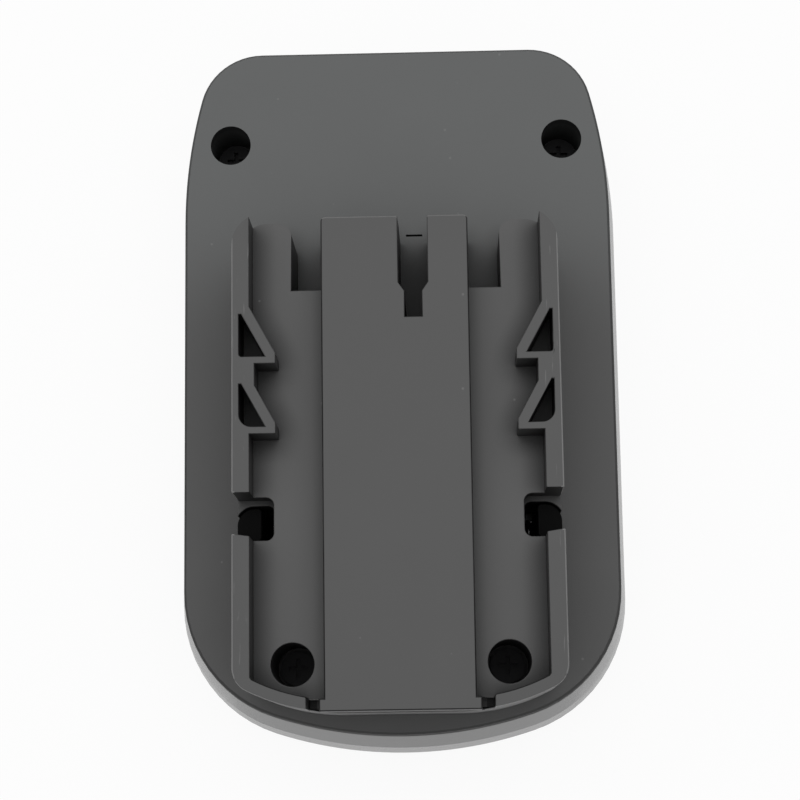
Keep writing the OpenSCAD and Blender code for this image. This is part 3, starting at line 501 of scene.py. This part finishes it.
# springs behind the latches: round wire with close end turns
springLook = {
    "wire": 0.00035, "turns": 6, "closeTurns": 1, "closePitch": 2.2,
    "stepsPerTurn": 32, "wireSides": 12, "keep": 0.75,
}
springs = {
    "left_latch_spring": {"joint": "left_latch_slide", "outwards": -1},
    "right_latch_spring": {"joint": "right_latch_slide", "outwards": 1},
}


def springRise(turn, look, run):
    # share of the length that is climbed after so many turns
    close = look["closePitch"] * look["wire"] * look["closeTurns"] / run
    left = look["turns"] - turn
    if turn < look["closeTurns"]:
        return close * turn / look["closeTurns"]
    if left < look["closeTurns"]:
        return 1 - close * left / look["closeTurns"]
    openTurns = look["turns"] - 2 * look["closeTurns"]
    return close + (1 - 2 * close) * (turn - look["closeTurns"]) / openTurns


def coilSpring(name, look, outwards):
    low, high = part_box(name)
    wire = look["wire"]
    radius = (high[1] - low[1]) / 2 - wire
    middleY = (low[1] + high[1]) / 2
    middleZ = (low[2] + high[2]) / 2
    seatX = low[0] if outwards > 0 else high[0]
    run = high[0] - low[0] - 2 * wire
    steps = look["turns"] * look["stepsPerTurn"]
    sides = look["wireSides"]
    points = []
    for step in range(steps + 1):
        turn = step / look["stepsPerTurn"]
        angle = 2 * math.pi * turn
        middleX = seatX + outwards * (wire + run * springRise(turn, look, run))
        for corner in range(sides):
            around = 2 * math.pi * corner / sides
            reach = radius + wire * math.cos(around)
            points.append((middleX + wire * math.sin(around), middleY + reach * math.cos(angle),
                           middleZ + reach * math.sin(angle)))
    faces = []
    for step in range(steps):
        for corner in range(sides):
            here = step * sides + corner
            beside = step * sides + (corner + 1) % sides
            faces.append((here, beside, beside + sides, here + sides))
    faces.append(tuple(reversed(range(sides))))
    faces.append(tuple(range(steps * sides, (steps + 1) * sides)))
    mesh = bpy.data.meshes.new(name + "_coil")
    mesh.from_pydata(points, [], faces)
    shaped = bmesh.new()
    shaped.from_mesh(mesh)
    bmesh.ops.recalc_face_normals(shaped, faces=shaped.faces)
    shaped.to_mesh(mesh)
    shaped.free()
    mesh.shade_smooth()
    mesh.materials.append(finishes["springMetal"])
    piece = bpy.data.objects.new(name + "_coil", mesh)
    scene.collection.objects.link(piece)
    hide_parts(name)
    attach(piece, "housing")
    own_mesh(piece)


for name, spring in springs.items():
    coilSpring(name, springLook, spring["outwards"])
print("springs wound:", len(springs))


# camera at the photograph's place: above the front, tilted a little
cameraSetup = {
    "place": (0.008774, -0.07169, 0.41456),
    "tilt": 0.17453, "lean": 0.02229, "turn": -0.014434,
    "lens": 94.5, "sensor": 36, "nearest": 0.01,
}
lensData = bpy.data.cameras.new("camera")
lensData.lens = cameraSetup["lens"]
lensData.sensor_width = cameraSetup["sensor"]
lensData.clip_start = cameraSetup["nearest"]
camera = bpy.data.objects.new("camera", lensData)
aim = Matrix.Rotation(cameraSetup["lean"], 4, "Y") @ Matrix.Rotation(cameraSetup["tilt"], 4, "X")
aim = aim @ Matrix.Rotation(cameraSetup["turn"], 4, "Z")
camera.matrix_world = Matrix.Translation(cameraSetup["place"]) @ aim
scene.collection.objects.link(camera)
scene.camera = camera

# white studio: pale floor, a sky that brightens upwards and to the back, and one broad lamp behind
studio = {
    "floorHalf": 0.3, "floorDrop": 0.0002, "floorShade": 0.85, "floorWhite": 0.92,
    "skyZenith": 1.25, "skyPower": 1.3, "skyBack": 0.1,
    "lampPlace": (0.0, 0.45, 1.1), "lampWide": 1.6, "lampDeep": 0.5, "lampPower": 3.0,
}
half = studio["floorHalf"]
floorMesh = bpy.data.meshes.new("floor")
floorCorners = [(-half, -half, 0), (half, -half, 0), (half, half, 0), (-half, half, 0)]
floorMesh.from_pydata(floorCorners, [], [(0, 1, 2, 3)])
floor = bpy.data.objects.new("floor", floorMesh)
floor.location.z = -studio["floorDrop"]
scene.collection.objects.link(floor)
floorFinish, floorPaint = newFinish("paleFloor")


def seenWhite(paint):
    # one for rays from the camera, mirrored ones and ones through glass
    kinds = ("Camera", "Glossy", "Transmission")
    rays = [paint.add("LightPath", None, None, "Is " + kind + " Ray") for kind in kinds]
    return larger(larger(rays[0], rays[1]), rays[2])


floorMatt = floorPaint.add("BsdfDiffuse", None, {"Color": grey(studio["floorShade"])})
floorGlow = floorPaint.add("Emission", None, {"Color": grey(1.0), "Strength": 1.0})
floorShare = studio["floorWhite"] * seenWhite(floorPaint)
floorShown = floorPaint.add("MixShader", None, {"Fac": floorShare, 1: floorMatt, 2: floorGlow})
closeFinish(floorPaint, floorShown)
floorMesh.materials.append(floorFinish)

world = bpy.data.worlds.new("studio")
scene.world = world
world.use_nodes = True
world.node_tree.nodes.clear()
sky = Paint(world.node_tree)
skyPlace = sky.add("TexCoord", None, None, "Generated")
height = sky.maths("MAXIMUM", sky.add("SeparateXYZ", None, {"Vector": skyPlace}, "Z"), 0.0)
behind = sky.add("SeparateXYZ", None, {"Vector": skyPlace}, "Y")
skyRise = sky.maths("POWER", height, studio["skyPower"])
skyStrength = studio["skyZenith"] * skyRise * (1 + studio["skyBack"] * behind)
skyLit = sky.add("Background", None, {"Color": grey(1.0), "Strength": skyStrength})
skySeen = sky.add("Background", None, {"Color": grey(1.0), "Strength": 1.0})
cameraRay = sky.add("LightPath", None, None, "Is Camera Ray")
skyMixed = sky.add("MixShader", None, {"Fac": cameraRay, 1: skyLit, 2: skySeen})
sky.add("OutputWorld", None, {"Surface": skyMixed})

lampData = bpy.data.lights.new("backLamp", "AREA")
lampData.shape = "RECTANGLE"
lampData.size = studio["lampWide"]
lampData.size_y = studio["lampDeep"]
lampData.energy = studio["lampPower"]
lamp = bpy.data.objects.new("backLamp", lampData)
lamp.location = studio["lampPlace"]
lamp.rotation_euler = (-math.atan2(studio["lampPlace"][1], studio["lampPlace"][2]), 0, 0)
scene.collection.objects.link(lamp)
scene.view_settings.view_transform = "Standard"
print("camera, floor, sky and lamp placed")
